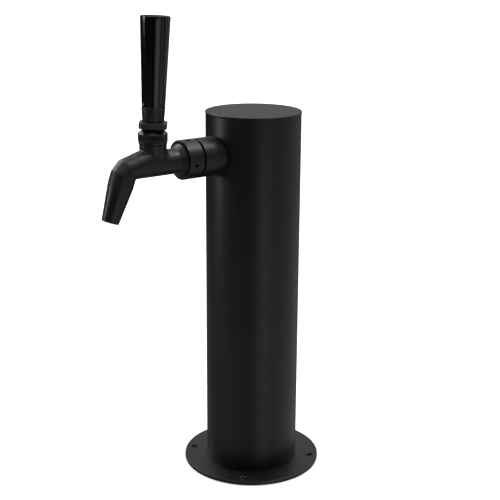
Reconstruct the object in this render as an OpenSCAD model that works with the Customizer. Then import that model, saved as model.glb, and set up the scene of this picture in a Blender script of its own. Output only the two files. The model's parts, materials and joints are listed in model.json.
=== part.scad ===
// Single-faucet column beer tower.
// The origin is the centre of the base's underside, +Z is up and the faucet points along -Y.
// "Forward" below is the distance from the column's axis towards -Y.

/* [Column] */
// Outside diameter of the column tube
column_d = 76.2; // [74:0.1:80]
// Wall thickness of the column tube
column_wall = 1.5; // [1.2:0.1:2]
// Height from the bar top to the top of the cap
tower_h = 299; // [280:1:340]

/* [Base] */
// Diameter of the base flange
flange_d = 114; // [112:1:130]
// Thickness of the base flange
flange_t = 3; // [2.5:0.5:5]
// Diameter of the circle through the mounting holes
bolt_circle_d = 100; // [98:0.5:102]
// Diameter of each mounting hole
bolt_hole_d = 5.2; // [4:0.1:6]

/* [Cap] */
// Thickness of the cap's visible rim
cap_t = 1.5; // [1:0.1:3]
// How far the cap's rim stands out past the tube
cap_lip = 0.3; // [0:0.1:1]

/* [Shank and coupling] */
// Distance of the shank's axis below the top of the tower
shank_drop = 31.8; // [28:0.1:40]
// Radius of the saddle collar and the coupling nut
ring_r = 15.3; // [15:0.1:17]
// Forward distance of the coupling nut's front face
nut_front = 70; // [69.5:0.1:70.5]
// Forward distance of the saddle collar's front face
collar_front = 55.4; // [55:0.1:55.8]

/* [Faucet] */
// Outside radius of the faucet's horizontal barrel
barrel_r = 9.7; // [9.5:0.1:9.8]
// Forward distance of the lever's neck
neck_forward = 93.4; // [93:0.1:94]
// Tilt of the spout from the vertical
spout_tilt = 20; // [18:1:22]
// Outside radius of the spout where it screws on
spout_top_r = 9.8; // [9.6:0.05:10.2]
// Outside radius of the spout's tip
spout_tip_r = 6.6; // [6.4:0.1:7.4]
// Length of the spout
spout_l = 29.9; // [26:0.1:34]

/* [Lever and handle] */
// How far the closed lever leans back towards the column
lever_lean = 2.7; // [2:0.1:3]
// Height of the handle's top above the lever's ball
handle_top = 89.3; // [80:0.1:110]
// Width of the round handle at its foot
handle_foot_d = 17.3; // [16.5:0.1:17.8]
// Width of the round handle at its head
handle_head_d = 22.2; // [20:0.1:24]

/* [Hidden] */
$fn = 72;
cut = 0.5;                       // how far a cutting tool runs past a face
fit = 0.05;                      // radial clearance of threads and running fits

// Colours
powder_black = [0.09, 0.09, 0.095];
gloss_black = [0.03, 0.03, 0.035];
rubber_black = [0.06, 0.06, 0.06];
stainless = [0.78, 0.78, 0.8];
plated = [0.7, 0.71, 0.73];
foam_grey = [0.35, 0.35, 0.36];
clear_vinyl = [0.85, 0.88, 0.85, 0.6];
acetal_white = [0.92, 0.92, 0.9];

// Column and base
column_r = column_d / 2;
column_bore_r = column_r - column_wall;
shank_z = tower_h - shank_drop;
cap_rim_r = column_r + cap_lip;
cap_skirt_h = 12;
cap_skirt_r = column_bore_r - 0.3;
cap_groove_z = -6;               // from the underside of the cap's rim
cap_oring_r = 0.75;
foot_spigot_h = 8;

// Shank, from the inside of the column forwards
shank_r = 11.1;
shank_head_r = 14.25;
shank_bore_r = 3.2;
shank_back = 8;
shank_head_front = 64.4;
groove_w = 1.5;                  // gap between the saddle collar and the coupling nut
washer_t = 1;
tail_flange_front = 67.8;
tail_flange_r = 14;
tail_flare_l = 3.9;
nut_lip_r = 12.7;                // opening in the coupling nut's front lip
spanner_hole_r = 1.5;
spanner_hole_turn = -10.6;       // first hole's angle from the +X side
spanner_forward = 63.9;

// Tail of the beer line, inside the column
tail_drop_y = 8;                 // the line hangs behind the column's axis
tail_tube_r = 3.9;
tail_bore_r = 2.4;
barb_r = 3.4;
barb_top = 22;                   // below the shank's axis
barb_bottom = 44;
line_r = 5.55;
line_bore_r = 2.4;
line_foot_z = 6;

// Faucet barrel, elbow and spout; points are [forward, height] on the centre line
barrel_z = shank_z;
bend_r = 10;
bend_step = 0.12;                // how far the bend stands out of the straight runs
bend_centre = [110.25, barrel_z - bend_r];
bend_sweep = 90 - spout_tilt;
bend_end = bend_centre + bend_r * [cos(spout_tilt), sin(spout_tilt)];
spout_dir = [sin(spout_tilt), -cos(spout_tilt)];
seam_drop = 5.35;                // from the end of the bend to the spout's seam
seam = bend_end + seam_drop * spout_dir;
barrel_bore_r = 6.5;
seat_forward = 107.6;            // where the bore starts to close to the valve seat
seat_hole_r = 4.8;
stub_r = 7.9;
stub_l = 5;
spout_socket_l = 6.8;
spout_bore_r = 4.9;
spout_mouth_l = 10;              // straight stretch of bore at the tip

// Lever neck: heights are relative to the centre of the lever's ball
ball_z = barrel_z + 19.5;
ball_r = 6;
neck_r = 10.3;
neck_thread_r = 9.6;
neck_bore_r = 7.6;
neck_pocket_r = 8.3;
neck_shoulder = -4.1;            // the bonnet's underside
neck_ledge = -5.2;
neck_rim = 1.3;
bonnet_r = 11.15;
bonnet_top_r = 8;
bonnet_top = 6.4;
bonnet_chamfer = 2.6;            // height of the bonnet's sloping top edge
bonnet_roof = 2.85;              // underside of the bonnet's roof

// Lever, nut, ferrule and handle, along the lever's own axis from the ball's centre
stem_r = 3.2;
arm_r = 2.1;
arm_l = 18.5;
arm_tip_r = 2.5;
nut_bottom = 7.4;
nut_af = 20.6;
nut_corner = 2.3;                // leg of the nut's cut corners
nut_turn = -35;                  // direction of one flat from the +X side
nut_rim_r = 9.2;
nut_boss_bottom = 8.9;
nut_boss_r = 5.3;
ferrule_bottom = 11.9;
ferrule_top = 22.6;
thread_r = 4.76;
stud_r = 4;
stud_top = 38;
flute_r = 1.6;

// Forward distance of the lever's arm tip when closed
arm_tip_forward = neck_forward + arm_l * sin(lever_lean);

// Moves the children so that their +Z runs forwards from the column's axis at height z
module forwards(z) {
    translate([0, 0, z]) rotate([90, 0, 0]) children();
}

// Ring about Z with a square section, from z0 to z1
module ring(outer, inner, z0, z1) {
    difference() {
        translate([0, 0, z0]) cylinder(h = z1 - z0, r = outer);
        translate([0, 0, z0 - cut]) cylinder(h = z1 - z0 + 2 * cut, r = inner);
    }
}

module torus(centre_r, tube_r) {
    rotate_extrude() translate([centre_r, 0]) circle(r = tube_r, $fn = 32);
}

// Angle about X that turns +Z to a [forward, height] direction
function tilt(d) = atan2(d[0], d[1]);

// Straight round run between two [forward, height] points
module run(p, q, r1, r2) {
    translate([0, -p[0], p[1]]) rotate([tilt(q - p), 0, 0])
        cylinder(h = norm(q - p), r1 = r1, r2 = r2);
}

// Round bend in the YZ plane about a [forward, height] centre. Angles run from straight up
// (0) towards the front (90).
module bend(centre, bend_radius, tube_r, from, sweep) {
    translate([0, -centre[0], centre[1]]) rotate([180, -90, 0]) rotate([0, 0, from])
        rotate_extrude(angle = sweep, $fn = 96)
            translate([bend_radius, 0]) circle(r = tube_r, $fn = 72);
}

// The spout's frame: origin at the seam's centre, +Z back up the spout's axis
module at_seam() {
    translate([0, -seam[0], seam[1]]) rotate([-spout_tilt, 0, 0]) children();
}

// The neck's frame: origin at the ball's centre, +Z up
module at_ball() {
    translate([0, -neck_forward, ball_z]) children();
}

// The lever's frame: as the neck's, leaning back by the closed angle
module at_lever() {
    at_ball() rotate([-lever_lean, 0, 0]) children();
}

// Hexagonal prism across flats, from z0 to z1
module hex(af, z0, z1) {
    translate([0, 0, z0]) rotate([0, 0, 30]) cylinder(h = z1 - z0, r = af / sqrt(3), $fn = 6);
}

module base_flange() {
    color(powder_black) difference() {
        union() {
            cylinder(h = flange_t, r = flange_d / 2);
            cylinder(h = flange_t + foot_spigot_h, r = column_bore_r - fit);
        }
        translate([0, 0, -cut])
            cylinder(h = flange_t + foot_spigot_h + 2 * cut, r = column_bore_r - 2.4);
        for (a = [45:90:315])
            rotate([0, 0, a]) translate([bolt_circle_d / 2, 0, -cut])
                cylinder(h = flange_t + 2 * cut, r = bolt_hole_d / 2);
    }
}

module column_tube() {
    color(powder_black) difference() {
        ring(column_r, column_bore_r, flange_t, tower_h - cap_t);
        forwards(shank_z) translate([0, 0, column_bore_r / 2])
            cylinder(h = column_r, r = shank_r + 0.2);
    }
}

module insulation_sleeve() {
    color(foam_grey) ring(column_bore_r - 0.4, 25, flange_t + foot_spigot_h + 2, shank_z - 48);
}

module top_cap() {
    rim_z = tower_h - cap_t;
    color(powder_black) translate([0, 0, rim_z]) difference() {
        union() {
            cylinder(h = cap_t, r = cap_rim_r);
            translate([0, 0, -cap_skirt_h]) cylinder(h = cap_skirt_h + cut, r = cap_skirt_r);
        }
        translate([0, 0, -cap_skirt_h - cut]) cylinder(h = cap_skirt_h, r = cap_skirt_r - 2.6);
        translate([0, 0, cap_groove_z])
            ring(cap_skirt_r + 1, cap_skirt_r - 1.3, -cap_oring_r - fit, cap_oring_r + fit);
    }
}

module cap_oring() {
    color(rubber_black) translate([0, 0, tower_h - cap_t + cap_groove_z])
        torus(column_bore_r - fit - cap_oring_r, cap_oring_r);
}

module saddle_collar() {
    color(powder_black) difference() {
        forwards(shank_z) ring(ring_r, shank_r + fit, column_bore_r / 2, collar_front);
        cylinder(h = tower_h, r = column_r + 0.02);
    }
}

module shank() {
    color(stainless) forwards(shank_z) difference() {
        union() {
            translate([0, 0, shank_back]) cylinder(h = shank_head_front - shank_back, r = shank_r);
            translate([0, 0, collar_front])
                cylinder(h = shank_head_front - collar_front, r = shank_head_r);
        }
        translate([0, 0, shank_back - cut])
            cylinder(h = shank_head_front - shank_back + 2 * cut, r = shank_bore_r);
    }
}

// Washer whose front face is curved to lie against the inside of the tube
module saddle_washer() {
    color(plated) intersection() {
        forwards(shank_z) ring(ring_r, shank_r + 0.15, 31, column_r);
        cylinder(h = tower_h, r = column_bore_r - 0.02);
    }
}

module shank_nut() {
    color(plated) forwards(shank_z) difference() {
        hex(28.6, 23.5, 31);
        translate([0, 0, 23]) cylinder(h = 9, r = shank_r + fit);
    }
}

module tail_gasket() {
    color(rubber_black) forwards(shank_z) ring(9, shank_bore_r + 0.3, shank_back - 1.2, shank_back);
}

// Barbed elbow that turns the beer line up into the back of the shank
module tail_piece() {
    flange_front = shank_back - 1.2;
    turn_r = 6;
    turn_centre = [turn_r - tail_drop_y, shank_z - turn_r];
    turn_top = turn_centre + [-1, turn_r];
    turn_foot = turn_centre + [-turn_r, 1];
    barb_shoulder = [-tail_drop_y, shank_z - barb_top];
    barb_foot = [-tail_drop_y, shank_z - barb_bottom];
    color(stainless) difference() {
        union() {
            run([flange_front - 2, shank_z], [flange_front, shank_z], 9, 9);
            run([flange_front - 1, shank_z], turn_top, tail_tube_r, tail_tube_r);
            bend(turn_centre, turn_r, tail_tube_r + bend_step, -90, 90);
            run(turn_foot, barb_shoulder, tail_tube_r, tail_tube_r);
            run(barb_shoulder + [0, 1], barb_foot, barb_r - 0.5, barb_r - 0.5);
            for (i = [0:2])
                translate([0, tail_drop_y, barb_foot[1] + 3 + 5 * i])
                    cylinder(h = 3, r1 = barb_r - 0.5, r2 = barb_r);
        }
        run([flange_front + cut, shank_z], turn_top, tail_bore_r, tail_bore_r);
        bend(turn_centre, turn_r, tail_bore_r + bend_step, -90, 90);
        run(turn_foot, barb_foot - [0, cut], tail_bore_r, tail_bore_r);
    }
}

module tail_nut() {
    color(plated) forwards(shank_z) difference() {
        hex(27, 2.2, 16);
        translate([0, 0, 1]) cylinder(h = 16, r = tail_tube_r + 0.6);
        translate([0, 0, 4.75]) cylinder(h = 12, r = shank_r + fit);
    }
}

module beer_line() {
    socket_z = shank_z - barb_bottom;
    top_z = shank_z - barb_top - 0.5;
    color(clear_vinyl) translate([0, tail_drop_y, 0]) difference() {
        translate([0, 0, line_foot_z]) cylinder(h = top_z - line_foot_z, r = line_r);
        translate([0, 0, line_foot_z - cut])
            cylinder(h = top_z - line_foot_z, r = line_bore_r);
        translate([0, 0, socket_z - 0.5]) cylinder(h = barb_bottom, r = barb_r + fit);
    }
}

// Crimped band with its ear, around the line over the barbs
module hose_clamp() {
    clamp_z = shank_z - barb_bottom + 11;
    color(stainless) translate([0, tail_drop_y, clamp_z]) difference() {
        union() {
            cylinder(h = 7, r = line_r + 0.9);
            translate([line_r, -2, 0]) cube([3, 4, 7]);
        }
        translate([0, 0, -cut]) cylinder(h = 8, r = line_r + fit);
    }
}

module coupling_nut() {
    back = collar_front + groove_w;
    color(powder_black) forwards(shank_z) difference() {
        translate([0, 0, back]) cylinder(h = nut_front - back, r = ring_r);
        translate([0, 0, back - cut])
            cylinder(h = tail_flange_front - back + cut, r = shank_head_r + fit);
        translate([0, 0, back]) cylinder(h = nut_front, r = nut_lip_r);
        for (i = [0:3])
            rotate([0, 0, spanner_hole_turn + 90 * i])
                translate([shank_head_r - 2, 0, spanner_forward]) rotate([0, 90, 0])
                    cylinder(h = 5, r = spanner_hole_r);
    }
}

module coupling_washer() {
    color(rubber_black) forwards(shank_z)
        ring(11, 5.2, shank_head_front, shank_head_front + washer_t);
}

// Outside of the faucet's body: barrel, neck and elbow
module body_outside() {
    flange_back = shank_head_front + washer_t;
    flare_back = nut_front + 0.6;
    run([flange_back, barrel_z], [tail_flange_front, barrel_z], tail_flange_r, tail_flange_r);
    run([flange_back, barrel_z], [flare_back, barrel_z], nut_lip_r - 0.1, nut_lip_r - 0.1);
    run([flare_back, barrel_z], [flare_back + tail_flare_l, barrel_z],
        nut_lip_r - 0.4, barrel_r + 0.5);
    run([flange_back, barrel_z], [bend_centre[0] + 1, barrel_z], barrel_r, barrel_r);
    bend(bend_centre, bend_r, barrel_r + bend_step, 0, bend_sweep);
    run(bend_end - spout_dir, seam, barrel_r, barrel_r);
    at_seam() translate([0, 0, -stub_l]) cylinder(h = stub_l + 1, r = stub_r);
    at_ball() {
        neck_foot = barrel_z - ball_z + 1;
        translate([0, 0, neck_foot]) cylinder(h = 8, r1 = barrel_r - 0.8, r2 = neck_r);
        translate([0, 0, neck_foot + 8])
            cylinder(h = neck_shoulder - neck_foot - 8, r = neck_r);
        translate([0, 0, neck_shoulder - 1])
            cylinder(h = neck_rim - neck_shoulder + 1, r = neck_thread_r);
    }
}

// Hollows of the faucet's body: valve bore, seat, passage to the spout and the neck's bore
module body_hollows() {
    flange_back = shank_head_front + washer_t;
    seat_end = seat_forward + barrel_bore_r - seat_hole_r;
    stub_end = seam + (stub_l + cut) * spout_dir;
    run([flange_back - cut, barrel_z], [71, barrel_z], 5.2, 5.2);
    run([70, barrel_z], [seat_forward, barrel_z], barrel_bore_r, barrel_bore_r);
    run([seat_forward, barrel_z], [seat_end, barrel_z], barrel_bore_r, seat_hole_r);
    run([seat_end - 0.1, barrel_z], [bend_centre[0] + 1, barrel_z], seat_hole_r, seat_hole_r);
    bend(bend_centre, bend_r, seat_hole_r + bend_step, 0, bend_sweep);
    run(bend_end - spout_dir, stub_end, seat_hole_r, seat_hole_r);
    at_ball() {
        translate([0, 0, barrel_z - ball_z + 2]) cylinder(h = 20, r = neck_bore_r);
        translate([0, 0, neck_ledge]) cylinder(h = 10, r = neck_pocket_r);
    }
}

module faucet_body() {
    color(powder_black) difference() {
        body_outside();
        body_hollows();
    }
}

// Sliding valve: slotted block for the lever's arm, fluted guide and sealing head
module valve_shuttle() {
    guide_back = 79.2;
    slot_l = 2 * arm_tip_r + 0.4;
    block_back = arm_tip_forward - slot_l / 2 - 3;
    block_l = slot_l + 6;
    slot_floor = ball_z - arm_l - arm_tip_r - 1 - barrel_z;
    head_back = 105;
    groove_back = 106.95;
    groove_l = 2.15;
    block_top = 2.6;
    color(stainless) forwards(barrel_z) difference() {
        union() {
            translate([0, 0, guide_back]) cylinder(h = 4, r = barrel_bore_r - fit);
            translate([0, 0, block_back]) cylinder(h = block_l, r = barrel_bore_r - fit);
            translate([0, 0, guide_back]) cylinder(h = head_back - guide_back + 1, r = 3.6);
            translate([0, 0, head_back]) cylinder(h = groove_back - head_back, r = 5.6);
            translate([0, 0, head_back]) cylinder(h = 4.6, r = 3.5);
            translate([0, 0, groove_back + groove_l]) cylinder(h = 0.9, r = 4.5);
            translate([0, 0, groove_back + groove_l + 0.8]) cylinder(h = 3, r1 = 4.3, r2 = 2.2);
        }
        for (a = [45:90:315])
            rotate([0, 0, a]) translate([barrel_bore_r, 0, guide_back - cut])
                cylinder(h = 5, r = 2.2);
        translate([-arm_tip_r - 0.3, slot_floor, block_back + 3])
            cube([2 * arm_tip_r + 0.6, 2 * barrel_bore_r, slot_l]);
        translate([-barrel_bore_r, block_top, block_back - cut])
            cube([2 * barrel_bore_r, barrel_bore_r, block_l + 2 * cut]);
    }
}

module shuttle_oring() {
    color(rubber_black) forwards(barrel_z) translate([0, 0, 108.02]) torus(4.57, 1.03);
}

module spout() {
    cone_bottom = -spout_l + spout_mouth_l;
    color(powder_black) at_seam() difference() {
        translate([0, 0, -spout_l])
            cylinder(h = spout_l - 0.1, r1 = spout_tip_r, r2 = spout_top_r);
        translate([0, 0, -spout_socket_l]) cylinder(h = spout_socket_l + cut, r = stub_r + fit);
        translate([0, 0, cone_bottom])
            cylinder(h = -spout_socket_l - cone_bottom + 0.1, r1 = spout_bore_r, r2 = spout_bore_r + 1);
        translate([0, 0, -spout_l - cut])
            cylinder(h = spout_mouth_l + cut + 0.1, r = spout_bore_r);
    }
}

module spout_oring() {
    color(rubber_black) at_seam() translate([0, 0, -(stub_l + spout_socket_l) / 2])
        torus(6.98, (spout_socket_l - stub_l) / 2 - 0.03);
}

module ball_seat() {
    color(acetal_white) at_ball() difference() {
        ring(neck_pocket_r - fit, 4.9, neck_ledge, -3.1);
        sphere(r = ball_r + 0.04);
    }
}

module ball_oring() {
    color(rubber_black) at_ball() translate([0, 0, -1.85]) torus(7.02, 1.18);
}

module ball_washer() {
    color(acetal_white) at_ball() difference() {
        ring(neck_pocket_r - fit, 5, -0.4, bonnet_roof - fit);
        sphere(r = ball_r + 0.04);
    }
}

// Screw-on bonnet that holds the lever's ball down
module lever_bonnet() {
    step_r = bonnet_r - 0.25;
    step_top = neck_shoulder + 2.4;
    chamfer_z = bonnet_top - bonnet_chamfer;
    color(powder_black) at_ball() difference() {
        union() {
            translate([0, 0, neck_shoulder]) cylinder(h = 3, r = step_r);
            translate([0, 0, step_top]) cylinder(h = chamfer_z - step_top, r = bonnet_r);
            translate([0, 0, chamfer_z])
                cylinder(h = bonnet_chamfer, r1 = bonnet_r, r2 = bonnet_top_r);
        }
        translate([0, 0, neck_shoulder - cut])
            cylinder(h = neck_rim - neck_shoulder + cut + 0.2, r = neck_thread_r + fit);
        translate([0, 0, neck_shoulder]) cylinder(h = bonnet_roof - neck_shoulder, r = neck_pocket_r);
        translate([0, 0, 2]) cylinder(h = bonnet_top - 2, r1 = 4.6, r2 = 7);
        translate([0, 0, bonnet_top - 0.01]) cylinder(h = 1, r = 7);
        sphere(r = ball_r + 0.1);
    }
}

// Ball, stem with its thread, and the arm that drives the shuttle
module lever() {
    color(stainless) at_lever() {
        sphere(r = ball_r);
        cylinder(h = nut_boss_bottom + 0.1, r = stem_r);
        translate([0, 0, nut_boss_bottom]) cylinder(h = 17.4 - nut_boss_bottom, r = thread_r);
        translate([0, 0, -arm_l]) cylinder(h = arm_l, r = arm_r);
        translate([0, 0, -arm_l]) sphere(r = arm_tip_r);
    }
}

// Square prism across flats about Z, from z0 to z1
module square_bar(af, z0, z1) {
    translate([-af / 2, -af / 2, z0]) cube([af, af, z1 - z0]);
}

// Square nut with cut corners, hollowed underneath so that it rolls over the bonnet
module lock_nut() {
    nut_top = ferrule_bottom;
    corner_r = norm([nut_af / 2, nut_af / 2 - nut_corner]) + 0.1;
    chamfer_h = 0.9;
    chamfer_r = corner_r - 1.6;
    color(powder_black) at_lever() rotate([0, 0, nut_turn]) difference() {
        intersection() {
            square_bar(nut_af, nut_bottom, nut_top);
            rotate([0, 0, 45]) square_bar((nut_af - nut_corner) * sqrt(2), nut_bottom, nut_top);
            union() {
                translate([0, 0, nut_bottom])
                    cylinder(h = chamfer_h, r1 = chamfer_r, r2 = corner_r);
                translate([0, 0, nut_bottom + chamfer_h])
                    cylinder(h = nut_top - nut_bottom - chamfer_h, r = corner_r);
            }
        }
        difference() {
            sphere(r = norm([nut_rim_r - 0.02, nut_bottom]));
            translate([0, 0, nut_boss_bottom]) cylinder(h = 10, r = nut_boss_r);
        }
        translate([0, 0, nut_bottom]) cylinder(h = 10, r = thread_r + fit);
    }
}

module handle_ferrule() {
    rim_h = 1;
    color(powder_black) at_lever() difference() {
        union() {
            translate([0, 0, ferrule_bottom])
                cylinder(h = ferrule_top - rim_h - ferrule_bottom, r1 = 8, r2 = 8.75);
            translate([0, 0, ferrule_top - rim_h]) cylinder(h = rim_h, r = 8.95);
        }
        translate([0, 0, ferrule_bottom - cut])
            cylinder(h = 17.5 - ferrule_bottom + cut, r = thread_r + fit);
        translate([0, 0, 17.4]) cylinder(h = 6, r = stud_r + fit);
    }
}

// Screw that joins the ferrule to the handle
module handle_stud() {
    color(plated) at_lever() translate([0, 0, 17.7]) cylinder(h = stud_top - 17.7, r = stud_r);
}

// Round flared handle with four flutes
module tap_handle() {
    foot_r = handle_foot_d / 2;
    head_r = handle_head_d / 2;
    rise = handle_top - ferrule_top;
    flare = atan((head_r - foot_r) / rise);
    color(gloss_black) at_lever() difference() {
        rotate_extrude() polygon([
            [0, ferrule_top],
            [foot_r, ferrule_top],
            [head_r, handle_top - 1.2],
            [head_r - 0.4, handle_top - 0.4],
            [head_r - 1.2, handle_top],
            [0, handle_top]]);
        for (a = [0:90:270])
            rotate([0, 0, a]) translate([foot_r + flute_r - 0.5, 0, ferrule_top + 2])
                rotate([0, flare - 0.3, 0]) cylinder(h = rise + 5, r = flute_r);
        translate([0, 0, ferrule_top - cut])
            cylinder(h = stud_top - ferrule_top + cut + 0.5, r = stud_r + fit);
    }
}

base_flange();
column_tube();
insulation_sleeve();
top_cap();
cap_oring();
saddle_collar();
shank();
saddle_washer();
shank_nut();
tail_gasket();
tail_piece();
tail_nut();
beer_line();
hose_clamp();
coupling_nut();
coupling_washer();
faucet_body();
valve_shuttle();
shuttle_oring();
spout();
spout_oring();
ball_seat();
ball_oring();
ball_washer();
lever_bonnet();
lever();
lock_nut();
handle_ferrule();
handle_stud();
tap_handle();
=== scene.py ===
"""Beer tap tower: detailed outer pieces, procedural finishes, studio and camera. Lengths are in mm unless noted."""
import json
import math

import bpy
import numpy as np
from mathutils import Matrix, Vector


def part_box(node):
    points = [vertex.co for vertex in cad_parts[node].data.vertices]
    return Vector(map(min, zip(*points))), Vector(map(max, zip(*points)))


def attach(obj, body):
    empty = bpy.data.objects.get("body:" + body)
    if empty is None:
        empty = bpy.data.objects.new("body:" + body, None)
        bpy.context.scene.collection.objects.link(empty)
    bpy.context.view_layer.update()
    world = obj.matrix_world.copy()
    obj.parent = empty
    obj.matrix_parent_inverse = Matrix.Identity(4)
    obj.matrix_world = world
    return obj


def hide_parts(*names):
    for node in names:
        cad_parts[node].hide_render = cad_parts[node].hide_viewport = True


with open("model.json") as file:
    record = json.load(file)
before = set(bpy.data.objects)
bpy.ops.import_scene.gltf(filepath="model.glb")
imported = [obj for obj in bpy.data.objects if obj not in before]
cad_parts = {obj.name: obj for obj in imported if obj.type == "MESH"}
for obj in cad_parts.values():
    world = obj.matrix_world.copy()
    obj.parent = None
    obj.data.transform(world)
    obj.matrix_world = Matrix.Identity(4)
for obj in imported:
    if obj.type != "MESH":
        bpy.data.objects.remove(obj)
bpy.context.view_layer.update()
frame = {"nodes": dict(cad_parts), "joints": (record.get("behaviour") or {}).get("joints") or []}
MM = 0.001
SHARP = math.radians(32)             # edges sharper than this are not shaded smooth
PLAY = 1e-6


# ---------------------------------------------------------------- places taken from the frame, in mm
def span(node):
    lo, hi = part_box(node)
    return np.array(lo) / MM, np.array(hi) / MM


tube_lo, tube_hi = span("column_tube")
cap_lo, cap_hi = span("top_cap")
flange_hi = span("base_flange")[1]
collar_lo = span("saddle_collar")[0]
nut_lo, nut_hi = span("coupling_nut")
stud_lo, stud_hi = span("handle_stud")

column_r = tube_hi[0]
tube_bore = column_r - 1.5
tube_bottom, tube_top = tube_lo[2], tube_hi[2]
shank_z = (nut_lo[2] + nut_hi[2]) / 2
ring_r = nut_hi[0]
collar_front = -collar_lo[1]
nut_back, nut_front = -nut_hi[1], -nut_lo[1]

pivot = next(j for j in frame["joints"] if j["name"] == "lever_pivot")
ball = np.array(pivot["pos_m"]) / MM
lean_vector = (stud_lo + stud_hi) / 2 - ball
lean = math.atan2(lean_vector[1], lean_vector[2])
neck_f = -ball[1]


def at(origin, rx=0.0):
    """Frame at origin turned about X."""
    return Matrix.Translation(Vector(origin)) @ Matrix.Rotation(rx, 4, "X")


FORWARD = at((0, 0, shank_z), math.pi / 2)          # +Z of the piece points along -Y
LEVER = at(ball, -lean)
NECK = at(ball)
UPRIGHT = at((0, 0, 0))


# ---------------------------------------------------------------- mesh helpers
def make(name, verts, faces, matrix, body, node, slot):
    """Finished mesh object from points in mm, placed by matrix, on a body and standing for a CAD node."""
    v = np.asarray(verts, float)
    m = np.array(matrix)
    v = (v @ m[:3, :3].T + m[:3, 3]) * MM
    mesh = bpy.data.meshes.new(name)
    mesh.from_pydata(v.tolist(), [], [list(map(int, f)) for f in faces])
    mesh.validate()
    mesh.update()
    mesh.polygons.foreach_set("use_smooth", np.ones(len(mesh.polygons), bool))
    mesh.set_sharp_from_angle(angle=SHARP)
    o = bpy.data.objects.new(name, mesh)
    bpy.context.scene.collection.objects.link(o)
    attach(o, body)
    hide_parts(node)
    return paint(o, FINISH[slot])


def rounded(points, steps=5):
    """Closed polyline [(r, z, radius)] with each corner rounded to its radius."""
    out = []
    n = len(points)
    for i, (x, y, rad) in enumerate(points):
        p = np.array([x, y], float)
        if rad <= 0:
            out.append(p)
            continue
        a = np.array(points[i - 1][:2], float) - p
        b = np.array(points[(i + 1) % n][:2], float) - p
        la, lb = np.linalg.norm(a), np.linalg.norm(b)
        a, b = a / la, b / lb
        half = math.acos(max(-1.0, min(1.0, float(a @ b)))) / 2
        cut = min(rad / math.tan(half), la * 0.49, lb * 0.49)
        rad = cut * math.tan(half)
        centre = p + (a + b) / np.linalg.norm(a + b) * rad / math.sin(half)
        s, e = p + a * cut - centre, p + b * cut - centre
        t0 = math.atan2(s[1], s[0])
        turn = (math.atan2(e[1], e[0]) - t0 + math.pi) % (2 * math.pi) - math.pi
        for k in range(steps + 1):
            t = t0 + turn * k / steps
            out.append(centre + rad * np.array([math.cos(t), math.sin(t)]))
    return np.array(out)


def subdivide_line(points, longest):
    """Adds points so that no stretch of a closed polyline is longer than longest."""
    out = []
    n = len(points)
    for i in range(n):
        p, q = points[i], points[(i + 1) % n]
        k = max(1, int(math.ceil(np.linalg.norm(q - p) / longest)))
        out += [p + (q - p) * j / k for j in range(k)]
    return np.array(out)


def spin(rows, closed=True):
    """Points and faces of a grid of rings, (rings, segments, 3); closed also joins the last ring to the first."""
    rows = np.asarray(rows, float)
    n, m = rows.shape[:2]
    verts = rows.reshape(-1, 3)
    i = np.arange(n if closed else n - 1)[:, None]
    j = np.arange(m)[None, :]
    a, b = i * m + j, i * m + (j + 1) % m
    c, d = ((i + 1) % n) * m + (j + 1) % m, ((i + 1) % n) * m + j
    faces = np.stack([a, b, c, d], -1).reshape(-1, 4)
    return verts, faces


def lathe_rows(profile, angles, radius=None):
    """Rings of a profile [(r, z)] turned about Z. radius(r, z, angles) may change each point's radius."""
    rows = []
    for r, z in profile:
        rr = np.full(len(angles), r) if radius is None else radius(r, z, angles)
        rows.append(np.stack([rr * np.cos(angles), rr * np.sin(angles), np.full(len(angles), z)], 1))
    return np.array(rows)


def turn(count):
    """Angles of a full turn in even steps."""
    return np.arange(count) * 2 * math.pi / count


def lathe(name, points, matrix, body, node, slot, count, steps=5):
    """Closed ring solid from corners [(r, z, corner radius)], wound anticlockwise seen with r to the right."""
    verts, faces = spin(lathe_rows(rounded(points, steps), turn(count)))
    return make(name, verts, faces, matrix, body, node, slot)


def smooth_min(a, b, k):
    """Smaller of two values, blended over a width k where they meet."""
    h = np.clip(0.5 + 0.5 * (b - a) / k, 0, 1)
    return b + (a - b) * h - k * h * (1 - h)


def smooth_max(a, b, k):
    return -smooth_min(-a, -b, k)


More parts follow.
